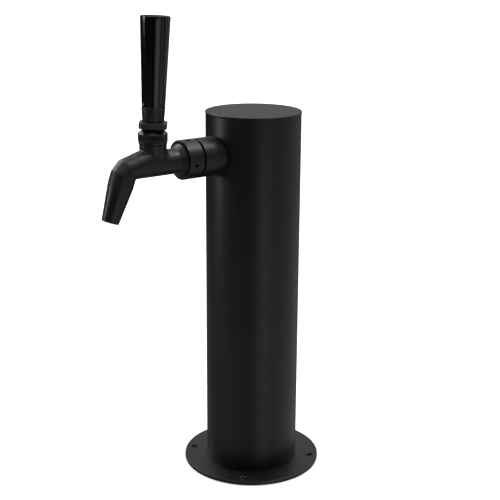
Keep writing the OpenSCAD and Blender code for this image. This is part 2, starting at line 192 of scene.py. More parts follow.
def surface_net(field, lo, hi, step):
    """Quad mesh of field = 0 over a box: one point in each cell the surface crosses, pulled onto the surface."""
    axes = [np.arange(lo[i], hi[i] + step, step) for i in range(3)]
    shape = tuple(len(a) for a in axes)
    values = np.empty(shape, np.float32)
    for i, x in enumerate(axes[0]):
        g = np.stack(np.meshgrid([x], axes[1], axes[2], indexing="ij"), -1).reshape(-1, 3)
        values[i] = field(g).reshape(shape[1], shape[2])
    inside = values < 0
    total = np.zeros(tuple(s - 1 for s in shape) + (3,), np.float32)
    count = np.zeros(tuple(s - 1 for s in shape), np.int32)
    crossings = []
    for ax in range(3):
        a = [slice(None)] * 3
        b = [slice(None)] * 3
        a[ax], b[ax] = slice(None, -1), slice(1, None)
        va, vb = values[tuple(a)], values[tuple(b)]
        cross = inside[tuple(a)] != inside[tuple(b)]
        idx = np.argwhere(cross)
        t = va[cross] / (va[cross] - vb[cross])
        p = idx.astype(np.float32)
        p[:, ax] += t
        others = [k for k in range(3) if k != ax]
        for da in (0, -1):
            for db in (0, -1):
                c = idx.copy()
                c[:, others[0]] += da
                c[:, others[1]] += db
                ok = np.all((c >= 0) & (c < np.array(count.shape)), 1)
                np.add.at(total, tuple(c[ok].T), p[ok])
                np.add.at(count, tuple(c[ok].T), 1)
        crossings.append((ax, idx, inside[tuple(a)][cross]))
    cells = np.argwhere(count > 0)
    number = np.full(count.shape, -1, np.int64)
    number[tuple(cells.T)] = np.arange(len(cells))
    verts = total[tuple(cells.T)] / count[tuple(cells.T)][:, None]
    verts = verts * step + np.array(lo)
    faces = []
    for ax, idx, ins in crossings:
        o1, o2 = [k for k in range(3) if k != ax]
        quad = []
        for da, db in ((0, 0), (-1, 0), (-1, -1), (0, -1)):
            c = idx.copy()
            c[:, o1] += da
            c[:, o2] += db
            quad.append(number[tuple(c.T)])
        quad = np.stack(quad, 1)
        flip = ins if ax == 1 else ~ins
        quad[flip] = quad[flip][:, ::-1]
        faces.append(quad)
    faces = np.concatenate(faces)
    probe, furthest = 0.02, 0.3
    for _ in range(3):
        d = field(verts)
        g = np.stack([(field(verts + probe * u) - field(verts - probe * u)) / (2 * probe) for u in np.eye(3)], 1)
        push = d[:, None] * g / np.maximum((g * g).sum(1), 0.3)[:, None]
        verts = verts - np.clip(push, -furthest, furthest)
    return verts, faces


# ---------------------------------------------------------------- finishes
def add(tree, kind, **values):
    """New node with some of its settings."""
    n = tree.nodes.new(kind)
    for k, v in values.items():
        setattr(n, k, v)
    return n


class Finish:
    """A node material on a Principled shader, with short helpers for its noise, masks and bump."""

    def __init__(self, name):
        self.m = bpy.data.materials.new(name)
        self.m.use_nodes = True
        self.t = self.m.node_tree
        self.b = self.t.nodes["Principled BSDF"]
        self.c = add(self.t, "ShaderNodeTexCoord").outputs["Object"]
        self.height = None

    def link(self, a, b):
        self.t.links.new(a, b)
        return self

    def stretch(self, scale):
        n = add(self.t, "ShaderNodeMapping")
        n.inputs["Scale"].default_value = scale
        self.link(self.c, n.inputs["Vector"])
        return n.outputs["Vector"]

    def noise(self, scale, detail=3.0, rough=0.55, vector=None):
        n = add(self.t, "ShaderNodeTexNoise")
        n.inputs["Scale"].default_value = scale
        n.inputs["Detail"].default_value = detail
        n.inputs["Roughness"].default_value = rough
        self.link(vector or self.c, n.inputs["Vector"])
        return n.outputs["Fac"]

    def cells(self, scale):
        n = add(self.t, "ShaderNodeTexVoronoi", feature="F1")
        n.inputs["Scale"].default_value = scale
        self.link(self.c, n.inputs["Vector"])
        return n.outputs["Distance"]

    def remap(self, value, a, b, c, d):
        n = add(self.t, "ShaderNodeMapRange")
        self.link(value, n.inputs["Value"])
        for k, v in zip(("From Min", "From Max", "To Min", "To Max"), (a, b, c, d)):
            n.inputs[k].default_value = v
        return n.outputs["Result"]

    def maths(self, op, a, b):
        n = add(self.t, "ShaderNodeMath", operation=op)
        for i, v in enumerate((a, b)):
            if isinstance(v, (int, float)):
                n.inputs[i].default_value = v
            else:
                self.link(v, n.inputs[i])
        return n.outputs[0]

    def mix(self, fac, a, b):
        n = add(self.t, "ShaderNodeMix", data_type="RGBA")
        self.link(fac, n.inputs[0])
        for slot, v in ((6, a), (7, b)):
            if isinstance(v, tuple):
                n.inputs[slot].default_value = (*v, 1)
            else:
                self.link(v, n.inputs[slot])
        return n.outputs[2]

    def edges(self, width):
        """Mask of edges: where a bevelled normal leaves the true one."""
        bevel = add(self.t, "ShaderNodeBevel", samples=4)
        bevel.inputs["Radius"].default_value = width
        geo = add(self.t, "ShaderNodeNewGeometry")
        dot = add(self.t, "ShaderNodeVectorMath", operation="DOT_PRODUCT")
        self.link(bevel.outputs[0], dot.inputs[0]).link(geo.outputs["Normal"], dot.inputs[1])
        return self.remap(dot.outputs["Value"], 0.985, 0.8, 0, 1)

    def bump(self, height, distance):
        """Adds a layer of relief, distance metres deep, on top of the layers before."""
        n = add(self.t, "ShaderNodeBump")
        n.inputs["Distance"].default_value = distance
        n.inputs["Strength"].default_value = 1
        self.link(height, n.inputs["Height"])
        if self.height is not None:
            self.link(self.height, n.inputs["Normal"])
        self.height = n.outputs["Normal"]
        self.link(self.height, self.b.inputs["Normal"])
        return self

    def colour(self, socket):
        return self.link(socket, self.b.inputs["Base Color"])

    def rough(self, socket):
        return self.link(socket, self.b.inputs["Roughness"])


def coat(name, dark, light, rough_lo, rough_hi, grain_mm, grain_depth, peel_depth, worn_and_highlight):
    """Powder coat: fine grain, orange peel, slow tone changes, and edges lightened in patches: partly rubbed wear,
    partly a painted edge highlight.
    """
    f = Finish(name)
    tone = f.remap(f.noise(55, 4), 0.3, 0.7, 0, 1)
    speck = f.remap(f.noise(1 / (grain_mm * MM), 2), 0.45, 0.7, 0, 0.6)
    base = f.mix(f.maths("ADD", tone, speck), dark, light)
    # edges lightened in patches: rubbed wear plus painted edge highlight
    rub_and_highlight = f.maths("MULTIPLY", f.edges(0.35 * MM), f.remap(f.noise(420, 5), 0.4, 0.62, 0, 1))
    f.colour(f.mix(rub_and_highlight, base, worn_and_highlight))
    rough = f.remap(f.noise(140, 5), 0.3, 0.7, rough_lo, rough_hi)
    f.rough(f.maths("SUBTRACT", rough, f.maths("MULTIPLY", rub_and_highlight, 0.06)))
    f.bump(f.noise(1 / (grain_mm * MM), 2), grain_depth * MM)
    f.bump(f.noise(1 / (grain_mm * 6 * MM), 1), peel_depth * MM)
    f.b.inputs["Specular IOR Level"].default_value = 0.5
    return f.m


def gloss(name):
    """Polished black plastic with faint swirls and hairline scratches."""
    f = Finish(name)
    base = f.mix(f.remap(f.noise(90, 4), 0.3, 0.7, 0, 1), (0.0022, 0.0022, 0.0024), (0.0045, 0.0045, 0.005))
    f.colour(base)
    smear = f.remap(f.noise(160, 5, 0.6), 0.42, 0.72, 0.07, 0.13)
    hair = f.remap(f.noise(1, 4, 0.6, f.stretch((5200, 5200, 90))), 0.62, 0.74, 0, 0.08)
    f.rough(f.maths("ADD", smear, hair))
    f.bump(f.noise(1, 3, 0.6, f.stretch((3600, 3600, 60))), 0.0015 * MM)
    f.bump(f.noise(240, 2), 0.012 * MM)
    f.b.inputs["Specular IOR Level"].default_value = 0.5
    return f.m


def metal(name, tint, rough_lo, rough_hi, stretch):
    """Turned or drawn metal with fine tool lines."""
    f = Finish(name)
    lines = f.noise(1, 3, 0.6, f.stretch(stretch))
    dark = tuple(c * 0.72 for c in tint)
    f.colour(f.mix(f.remap(f.noise(180, 4), 0.3, 0.7, 0, 1), dark, tint))
    f.rough(f.remap(f.maths("ADD", lines, f.noise(120, 3)), 0.7, 1.3, rough_lo, rough_hi))
    f.bump(lines, 0.006 * MM)
    f.b.inputs["Metallic"].default_value = 1
    return f.m


def blackened(name):
    """Black-oxide steel, a little shinier where it is rubbed."""
    f = Finish(name)
    f.colour(f.mix(f.remap(f.noise(260, 5), 0.4, 0.65, 0, 1), (0.004, 0.004, 0.004), (0.012, 0.012, 0.012)))
    f.rough(f.remap(f.noise(500, 4), 0.3, 0.7, 0.38, 0.55))
    f.bump(f.noise(1, 3, 0.6, f.stretch((900, 5000, 5000))), 0.006 * MM)
    return f.m


def rubber(name):
    """Matt black rubber with a fine grain."""
    f = Finish(name)
    f.colour(f.mix(f.remap(f.noise(300, 4), 0.3, 0.7, 0, 1), (0.008, 0.008, 0.008), (0.02, 0.02, 0.021)))
    f.rough(f.remap(f.noise(500, 4), 0.3, 0.7, 0.55, 0.8))
    f.bump(f.noise(2500, 3), 0.02 * MM)
    return f.m


def foam(name):
    """Closed-cell foam: small cells, with painted shade darkening their pits."""
    f = Finish(name)
    pores = f.remap(f.cells(700), 0.1, 0.6, 0, 1)
    # cell pits darker: painted shade in the recesses
    f.colour(f.mix(pores, (0.02, 0.02, 0.022), (0.075, 0.075, 0.08)))
    f.rough(f.remap(f.noise(200, 3), 0.3, 0.7, 0.85, 0.98))
    f.bump(pores, 0.35 * MM)
    return f.m


def vinyl(name):
    """Clear beer line, slightly clouded."""
    f = Finish(name)
    cloud = f.remap(f.noise(150, 4), 0.35, 0.7, 0, 1)
    f.colour(f.mix(cloud, (0.86, 0.9, 0.86), (0.72, 0.76, 0.7)))
    f.rough(f.remap(f.noise(400, 4), 0.3, 0.7, 0.12, 0.28))
    f.bump(f.noise(500, 3), 0.03 * MM)
    f.b.inputs["Transmission Weight"].default_value = 0.7
    f.b.inputs["IOR"].default_value = 1.5
    return f.m


def acetal(name):
    """Off-white plastic with faint turning lines."""
    f = Finish(name)
    f.colour(f.mix(f.remap(f.noise(250, 4), 0.3, 0.7, 0, 1), (0.7, 0.69, 0.66), (0.82, 0.81, 0.78)))
    f.rough(f.remap(f.noise(500, 4), 0.3, 0.7, 0.3, 0.45))
    f.bump(f.noise(1, 3, 0.6, f.stretch((900, 900, 9000))), 0.01 * MM)
    return f.m


def shade_paint(name):
    """Near-black matt paint standing in for shade: painted shade on the shank behind the coupling nut, so the gap
    there reads dark, and painted shadow on the spanner holes' bottoms.
    """
    f = Finish(name)
    f.colour(f.mix(f.noise(900, 4), (0.0008, 0.0008, 0.0008), (0.002, 0.002, 0.002)))
    f.rough(f.remap(f.noise(900, 3), 0.3, 0.7, 0.85, 1))
    f.bump(f.noise(3000, 2), 0.02 * MM)
    f.b.inputs["Specular IOR Level"].default_value = 0.1
    return f.m


column_black = coat("column_black", (0.0018, 0.0018, 0.0019), (0.0042, 0.0042, 0.0044),
                    0.36, 0.42, 0.35, 0.012, 0.02, (0.02, 0.02, 0.021))
faucet_black = coat("faucet_black", (0.002, 0.002, 0.0021), (0.0048, 0.0048, 0.005),
                    0.34, 0.42, 0.3, 0.012, 0.015, (0.03, 0.03, 0.03))
# lighter copy of the coat for the lock nut: painted light that makes its flats read as lit
nut_lit_black = coat("nut_lit_black", (0.017, 0.017, 0.0175), (0.027, 0.027, 0.028),
                 0.42, 0.5, 0.25, 0.014, 0.015, (0.05, 0.05, 0.05))
handle_black = gloss("handle_black")
rubber_black = rubber("rubber_black")
stainless = metal("stainless", (0.62, 0.61, 0.59), 0.22, 0.36, (4000, 60, 4000))
black_steel = blackened("black_steel")
plated = metal("plated_steel", (0.56, 0.55, 0.5), 0.28, 0.45, (3000, 3000, 3000))
foam_grey = foam("foam_grey")
clear_vinyl = vinyl("clear_vinyl")
white_acetal = acetal("white_acetal")
# near-black paint for shade: the gap behind the coupling nut and the spanner holes' bottoms
painted_shade_black = shade_paint("painted_shade_black")


FINISH = {"column_black": column_black, "faucet_black": faucet_black, "handle_black": handle_black}


def paint(o, *materials):
    """Replaces an object's materials."""
    o.data.materials.clear()
    for m in materials:
        o.data.materials.append(m)
    return o


# the shank is painted near-black: painted shade in the gap behind the coupling nut
carried = {
    "insulation_sleeve": foam_grey, "cap_oring": rubber_black, "shank": painted_shade_black,
    "saddle_washer": plated, "shank_nut": plated, "tail_gasket": rubber_black,
    "tail_piece": stainless, "tail_nut": plated, "beer_line": clear_vinyl,
    "hose_clamp": stainless, "coupling_washer": rubber_black, "valve_shuttle": stainless,
    "shuttle_oring": rubber_black, "spout_oring": rubber_black, "ball_seat": white_acetal,
    "ball_oring": rubber_black, "ball_washer": white_acetal, "lever": black_steel,
    "handle_stud": plated,
}
for node, material in carried.items():
    paint(frame["nodes"][node], material)


# ---------------------------------------------------------------- column, base and cap
def bake(o):
    """Applies the modifiers."""
    bpy.context.view_layer.update()
    dg = bpy.context.evaluated_depsgraph_get()
    mesh = bpy.data.meshes.new_from_object(o.evaluated_get(dg))
    o.modifiers.clear()
    o.data = mesh


def drilled_flange():
    """Base flange with four drilled and lightly countersunk holes, and its spigot inside the tube."""
    r, t = flange_hi[0], tube_bottom
    spigot_top = flange_hi[2]
    spigot_r = tube_bore - 0.05
    spigot_bore = tube_bore - 2.4
    profile = rounded([(spigot_bore, 0, 0.3), (r, 0, 0.35), (r, t, 0.55), (column_r + 0.9, t, 0),
                       (column_r + 0.05, t + 0.05, 0), (spigot_r, t, 0), (spigot_r, spigot_top, 0.5),
                       (spigot_bore, spigot_top, 0.5)], 6)
    verts, faces = spin(lathe_rows(profile, turn(256)))
    o = make("base_plate", verts, faces, UPRIGHT, "tower", "base_flange", "column_black")
    circle_r, hole_r, sink = 50, 2.6, 0.5
    for k in range(4):
        a = math.radians(45 + 90 * k)
        centre = (circle_r * math.cos(a), circle_r * math.sin(a), 0)
        cutter_profile = np.array([(0.001, -1), (hole_r, -1), (hole_r, t - 0.45), (hole_r + sink, t + 0.05),
                                   (hole_r + sink, t + 1), (0.001, t + 1)])
        v, f = spin(lathe_rows(cutter_profile, turn(48)))
        m = bpy.data.meshes.new("cutter")
        m.from_pydata(((v + centre) * MM).tolist(), [], f.tolist())
        c = bpy.data.objects.new("cutter", m)
        bpy.context.scene.collection.objects.link(c)
        mod = o.modifiers.new("hole", "BOOLEAN")
        mod.operation, mod.solver, mod.object = "DIFFERENCE", "EXACT", c
        bake(o)
        bpy.data.objects.remove(c)
    o.data.set_sharp_from_angle(angle=SHARP)
    paint(o, column_black)


drilled_flange()

# the tube's wall with rounded ends; the shank's hole, hidden behind the collar, is left out
lathe("column_tube_skin",
      [(tube_bore, tube_bottom, 0.2), (column_r, tube_bottom, 0.3), (column_r, tube_top, 0.3),
       (tube_bore, tube_top, 0.3)],
      UPRIGHT, "tower", "column_tube", "column_black", 288)


def push_in_cap():
    """Slightly crowned cap with a grooved skirt inside the tube."""
    cap_r, cap_top, cap_under = cap_hi[0], cap_hi[2], tube_top
    skirt_r, skirt_foot = column_r - 1.8, cap_lo[2]
    skirt_bore, groove_r = skirt_r - 2.6, skirt_r - 1.3
    groove = cap_under - 6
    crown = [(r, cap_top - 0.12 * (r / cap_r) ** 4) for r in (0.02, 6, 12, 18, 24, 29, 33, 35.5)]
    profile = rounded([(0.02, cap_under - 0.6, 0), (skirt_bore, cap_under - 0.6, 0.8),
                       (skirt_bore, skirt_foot, 0.5), (skirt_r, skirt_foot, 0.5),
                       (skirt_r, groove - 0.8, 0.15), (groove_r, groove - 0.8, 0.2),
                       (groove_r, groove + 0.8, 0.2), (skirt_r, groove + 0.8, 0.15),
                       (skirt_r, cap_under, 0), (cap_r, cap_under, 0.35), (cap_r, cap_top, 0.5)]
                      + [(r, z, 0) for r, z in reversed(crown)], 6)
    verts, faces = spin(lathe_rows(profile, turn(288)))
    make("cap", verts, faces, UPRIGHT, "cap", "top_cap", "column_black")


push_in_cap()


# ---------------------------------------------------------------- shank collar and coupling nut
def saddle_collar():
    """Ring whose back follows the tube, with a rounded front edge and a fitted edge behind."""
    inner = 11.15
    angles = turn(256)
    rows = []

    def back(r, lift):
        x = r * np.cos(angles)
        return np.sqrt((column_r + 0.03) ** 2 - x ** 2) + lift

    def ring_row(r, z):
        zz = np.broadcast_to(z, angles.shape)
        return np.stack([r * np.cos(angles), r * np.sin(angles), zz], 1)

    bevel = 0.55
    front = collar_front
    for k in range(7):                                   # front outer edge
        t = math.radians(90 - 15 * k)
        rows.append(ring_row(ring_r - bevel + bevel * math.cos(t), front - bevel + bevel * math.sin(t)))
    foot = back(ring_r, 0)
    for s in np.linspace(0.08, 1, 14):                   # outer wall
        rows.append(ring_row(ring_r, front - bevel + (foot + 0.9 - front + bevel) * s))
    for dr, lift in ((0.06, 0.62), (0.2, 0.38), (0.4, 0.18), (0.62, 0.06), (0.9, 0.0)):
        rows.append(ring_row(ring_r - dr, back(ring_r - dr, lift)))
    for r in (13.5, 12.3, inner + 0.1):
        rows.append(ring_row(r, back(r, 0)))
    for s in np.linspace(0, 1, 6):                       # bore
        rows.append(ring_row(inner, back(inner, 0.1) * (1 - s) + (front - 0.3) * s))
    rows.append(ring_row(inner + 0.3, front))
    rows.append(ring_row(12.6, front))
    verts, faces = spin(np.array(rows))
    make("collar", verts, faces[:, ::-1], FORWARD, "tower", "saddle_collar", "faucet_black")


saddle_collar()


def coupling_nut():
    """Turned nut with bevelled ends, a front lip and four drilled spanner holes."""
    inner, lip = 14.3, 12.7
    hole_f, hole_r, hole_turn = 63.9, 1.5, -10.6
    rim, rim_depth, wall, hole_depth = 0.22, 0.2, 0.1, 0.72
    hole_angles = np.radians(hole_turn + 90 * np.arange(4))
    fine = np.concatenate([a + np.linspace(-2.3, 2.3, 47) / ring_r for a in hole_angles])
    coarse = turn(120)
    away_from_holes = [np.abs((c - hole_angles + math.pi) % (2 * math.pi) - math.pi).min() for c in coarse]
    keep = coarse[np.array(away_from_holes) > 2.45 / ring_r]
    angles = np.sort(np.concatenate([fine, keep]) % (2 * math.pi))
    corner = rounded([(inner, nut_back, 0.3), (ring_r, nut_back, 0.5), (ring_r, nut_front, 0.6),
                      (lip, nut_front, 0.25), (lip, 67.85, 0), (inner, 67.8, 0)], 6)
    profile = []
    n = len(corner)
    for i in range(n):
        p, q = corner[i], corner[(i + 1) % n]
        if abs(p[0] - ring_r) < PLAY and abs(q[0] - ring_r) < PLAY and abs(q[1] - p[1]) > 5:
            zs = np.concatenate([np.linspace(p[1], hole_f - 2.3, 12)[:-1],
                                 np.linspace(hole_f - 2.3, hole_f + 2.3, 47),
                                 np.linspace(hole_f + 2.3, q[1], 12)[1:-1]])
            profile += [(ring_r, z) for z in zs]
        else:
            profile.append(tuple(p))

    def radius(r, z, th):
        if abs(r - ring_r) > PLAY:
            return np.full(len(th), r)
        away = (th[:, None] - hole_angles + math.pi) % (2 * math.pi) - math.pi
        dist = np.sqrt((away * ring_r) ** 2 + (z - hole_f) ** 2).min(1)
        sink = np.clip((hole_r + rim - dist) / rim, 0, 1) * rim_depth
        sink = sink + np.clip((hole_r - dist) / wall, 0, 1) * hole_depth
        return r - sink

    verts, faces = spin(lathe_rows(profile, angles, radius))
    o = make("coupling_ring", verts, faces, FORWARD, "tower", "coupling_nut", "faucet_black")
    # second material: near-black painted shadow on the spanner holes' bottoms
    paint(o, faucet_black, painted_shade_black)
    rr = np.hypot(verts[:, 0], verts[:, 1])
    floor = (rr[faces].max(1) < ring_r - 0.5) & (rr[faces].min(1) > inner + 0.01)
    floor &= np.abs(verts[faces].mean(1)[:, 2] - hole_f) < 2
    o.data.polygons.foreach_set("material_index", floor.astype(np.int32))


coupling_nut()


# ---------------------------------------------------------------- faucet body
barrel_r, barrel_z = 9.7, shank_z
bend_r, bend_c = 10.0, np.array([110.25, barrel_z - 10.0])
spout_tilt = math.radians(20)
# the elbow's straight runs from barrel to spout: fall in degrees and distance from bend_c
flats = [(0.0, 10.0), (16.5, 8.77), (46.8, 9.16), (70.0, 10.0)]
seam_drop = 5.35                             # from the end of the bend to the spout's joint
flange_back, boss_front = 65.4, nut_front + 0.6
neck_top = -4.1                              # shoulder under the bonnet, from the ball's centre
spout_dir = np.array([math.sin(spout_tilt), -math.cos(spout_tilt)])
bend_end = bend_c + bend_r * np.array([math.cos(spout_tilt), math.sin(spout_tilt)])
seam = bend_end + seam_drop * spout_dir


def run_line(k):
    """Normal, offset and forward direction of one of the elbow's straight centre lines."""
    t = math.radians(flats[k][0])
    return np.array([math.sin(t), math.cos(t)]), flats[k][1], np.array([math.cos(t), -math.sin(t)])


def away(f, z, k):
    """Distance outwards from one of the elbow's centre lines."""
    normal, offset, _ = run_line(k)
    return (f - bend_c[0]) * normal[0] + (z - bend_c[1]) * normal[1] - offset


def elbow(x, f, z, r, runs, soft):
    """Round bar along some of the centre lines, mitred where they meet, each mitre blended over soft."""
    d = np.hypot(x, away(f, z, runs[0])) - r
    for j, k in zip(runs, runs[1:]):
        (n1, o1, t1), (n2, o2, t2) = run_line(j), run_line(k)
        point = bend_c + np.linalg.solve(np.array([n1, n2]), np.array([o1, o2]))
        across = (t1 + t2) / np.linalg.norm(t1 + t2)
        w = ((f - point[0]) * across[0] + (z - point[1]) * across[1]) / soft + 0.5
        w = np.clip(w, 0, 1)
        w = w * w * (3 - 2 * w)
        d = d * (1 - w) + (np.hypot(x, away(f, z, k)) - r) * w
    return d


def outer_elbow(x, f, z, r):
    """Barrel and spout run with a crisp inner corner, the outer corner cut back to two more runs."""
    d = elbow(x, f, z, r, (0, 3), 0.8)
    for k in (1, 2):
        d = smooth_max(d, np.hypot(x, np.maximum(away(f, z, k), 0)) - r, 0.4)
    limits = np.maximum(np.maximum(neck_f - f, f - 109.5), barrel_z - z)
    raised = np.maximum(np.hypot(x, away(f, z, 1)) - r, limits)
    return smooth_min(d, raised, 0.5)


def capped(d, s, lo, hi, k=0.3):
    """A bar's distance limited to the stretch lo to hi of its length s."""
    return smooth_max(d, np.maximum(lo - s, s - hi), k)


def body_field(p):
    """Distance outside the casting: barrel, elbow, tail and neck, with its passage and bores taken out."""
    x, f, z = p[:, 0], -p[:, 1], p[:, 2]
    along = (f - seam[0]) * spout_dir[0] + (z - seam[1]) * spout_dir[1]
    side = (f - seam[0]) * math.cos(spout_tilt) + (z - seam[1]) * math.sin(spout_tilt)
    up = z - ball[2]
    h = z - barrel_z
    rad = np.hypot(x, h)
    bar = outer_elbow(x, f, z, barrel_r)
    bar = smooth_max(bar, np.maximum(flange_back - f, along), 0.35)
    flange = capped(rad - 14.0, f, flange_back, flange_back + 2.4)
    boss = capped(rad - 12.6, f, flange_back, boss_front, 0.25)
    flare_r = 12.3 - 2.7 * np.clip((f - boss_front) / 4.3, 0, 1)
    flare = capped((rad - flare_r) * 0.85, f, 67, nut_front + 5.2, 0.3)
    tail = smooth_min(np.minimum(flange, boss), flare, 0.3)
    body = smooth_min(bar, tail, 0.45)
    neck_rad = np.hypot(x, f - neck_f)
    neck_r = 10.3 - 1.2 * np.clip((-7 - up) / 9, 0, 1)
    neck = smooth_max(neck_rad - neck_r, np.maximum(up - neck_top, -18.5 - up), 0.45)
    blend = 0.7 + 3.6 * np.clip((neck_f + 1.0 - f) / 7.0, 0, 1) ** 1.5
    body = smooth_min(body, neck, blend)
    thread = smooth_max(neck_rad - 9.6, np.maximum(up - 1.3, -12 - up), 0.3)
    stub = smooth_max(np.hypot(x, side) - 7.9, np.maximum(along - 5, -1 - along), 0.3)
    body = np.minimum(np.minimum(body, thread), stub)
    bore = np.maximum(rad - 6.5, np.maximum(70.0 - f, f - 107.6))
    back_hole = np.maximum(rad - 5.2, f - 71.0)
    passage = elbow(x, f, z, 4.8, (0, 1, 2, 3), 3.0)
    passage = np.maximum(passage, 106.0 - f)
    neck_bore = np.maximum(neck_rad - 7.6, -17.5 - up)
    pocket = np.maximum(neck_rad - 8.3, -5.2 - up)
    hollow = np.minimum(np.minimum(bore, back_hole), np.minimum(passage, np.minimum(neck_bore, pocket)))
    return smooth_max(body, -hollow, 0.2)


cell = 0.42
verts, faces = surface_net(body_field, (-14.9, -131.0, 246.0), (14.9, -64.6, ball[2] + 2.2), cell)
make("faucet_casting", verts, faces, UPRIGHT, "tower", "faucet_body", "faucet_black")

spout_l, top_r, tip_r, bore_r, socket_r = 29.9, 9.8, 6.6, 4.9, 7.95
lathe("spout_tube",
      [(bore_r, -spout_l, 0.35), (tip_r, -spout_l, 0.3), (top_r, -0.1, 0.3), (socket_r, -0.1, 0.2),
       (socket_r, -6.8, 0.2), (bore_r + 1, -6.8, 0.3), (bore_r, -spout_l + 10, 0.5)],
      at((0, -seam[0], seam[1]), -spout_tilt), "tower", "spout", "faucet_black", 192)


# ---------------------------------------------------------------- bonnet
def bonnet():
    """Straight-knurled bonnet with a bead below and a sloping top edge, open for the lever."""
    teeth, tooth_depth, r0 = 48, 0.55, 11.15
    low, knurl_lo, knurl_hi, top = neck_top + 0.1, -1.25, 3.4, 6.4
    corner = rounded([(9.65, low + 0.1, 0.15), (10.0, low, 0.1), (10.92, low + 0.1, 0.7), (10.92, -2.3, 0.5),
                      (10.45, -2.05, 0.1), (r0, -1.75, 0.45), (r0, 3.8, 0.35), (8.0, top, 0.5), (7.0, top, 0.2),
                      (4.65, 2.05, 0.3), (5.6, 2.85, 0.1), (8.3, 2.85, 0.2), (8.3, 1.5, 0.1), (9.65, 1.5, 0.2)], 5)
    profile = subdivide_line(corner, 0.45)

    def radius(r, z, th):
        if r < r0 - 0.1 or z < knurl_lo or z > knurl_hi:
            return np.full(len(th), r)
        ends = min(1.0, (z - knurl_lo) / 0.4, (knurl_hi - z) / 0.4)
        wave = 0.5 + 0.5 * np.cos(teeth * th)
        return r - tooth_depth * ends * (1 - wave) ** 1.4

    verts, faces = spin(lathe_rows(profile, turn(teeth * 10), radius))
    make("knurled_bonnet", verts, faces, NECK, "tower", "lever_bonnet", "faucet_black")


bonnet()


# ---------------------------------------------------------------- lock nut and ferrule
def lock_nut():
    """Square nut with cut corners, bevelled below, with a hollow underside."""
    half, corner, low, top = 10.3, 2.3, 7.4, 11.9
    thread_r, rim_r, throat_r, softness = 4.85, 9.18, 5.3, 0.22
    turn_to = math.radians(-35)
    th = turn(360)

    def outline(t):
        t = (t - turn_to + math.pi / 4) % (math.pi / 2) - math.pi / 4
        flat = half / np.cos(t)
        cut = (half - corner / 2) * math.sqrt(2) / np.cos(np.abs(t) - math.pi / 4)
        return smooth_min(flat, cut, 0.35)

    def row(r, z):
        return np.stack([r * np.cos(th), r * np.sin(th), np.full(len(th), z)], 1)

    edge = outline(th)
    biggest = edge.max()
    rows = []

    def side(z):
        """Outer radius at a height: the outline, bevelled round its lower corners, edges softened."""
        depth = min(z - low, top - z)
        soft = softness * (1 - depth / softness) ** 2 if depth < softness else 0.0
        cone = biggest - 1.0 + 1.5 * (z - low)
        return smooth_min(edge, np.full_like(edge, cone), 0.2) - soft

    rows.append(row(thread_r, low + 2.0))
    rows.append(row(thread_r, top))
    for r in (6.5, 8.4):
        rows.append(row(r, top))
    rows.append(row(side(top) - 0.25, top))
    for z in (top, top - 0.06, top - 0.15, top - 0.3, top - 0.5, top - 0.75, top - 1.0):
        rows.append(row(side(z), z))
    for z in np.linspace(top - 1.4, low + 1.4, 5):
        rows.append(row(side(z), z))
    for z in (1.0, 0.75, 0.5, 0.3, 0.15, 0.06, 0.0):
        rows.append(row(side(low + z), low + z))
    rows.append(row(side(low) - 0.25, low))
    rows.append(row(9.3, low))
    sphere = math.hypot(rim_r, low)
    for r in (9.15, 8.4, 7.5, 6.6, 5.6, throat_r):
        rows.append(row(r, math.sqrt(sphere ** 2 - r ** 2)))
    rows.append(row(throat_r, low + 1.5))
    verts, faces = spin(np.array(rows))
    o = make("lock_nut_square", verts, faces[:, ::-1], LEVER, "lever", "lock_nut", "faucet_black")
    # the lighter coat paints light onto the nut's flats
    paint(o, nut_lit_black)


lock_nut()

# tapered ferrule with a lip under the handle
lathe("ferrule",
      [(4.85, 11.9, 0.2), (8.0, 11.9, 0.35), (8.72, 21.35, 0.15), (8.6, 21.55, 0.1), (8.95, 21.65, 0.4),
       (8.95, 22.6, 0.45), (4.1, 22.6, 0.2), (4.1, 17.5, 0.1), (4.85, 17.4, 0.1)],
      LEVER, "lever", "handle_ferrule", "faucet_black", 160, steps=6)


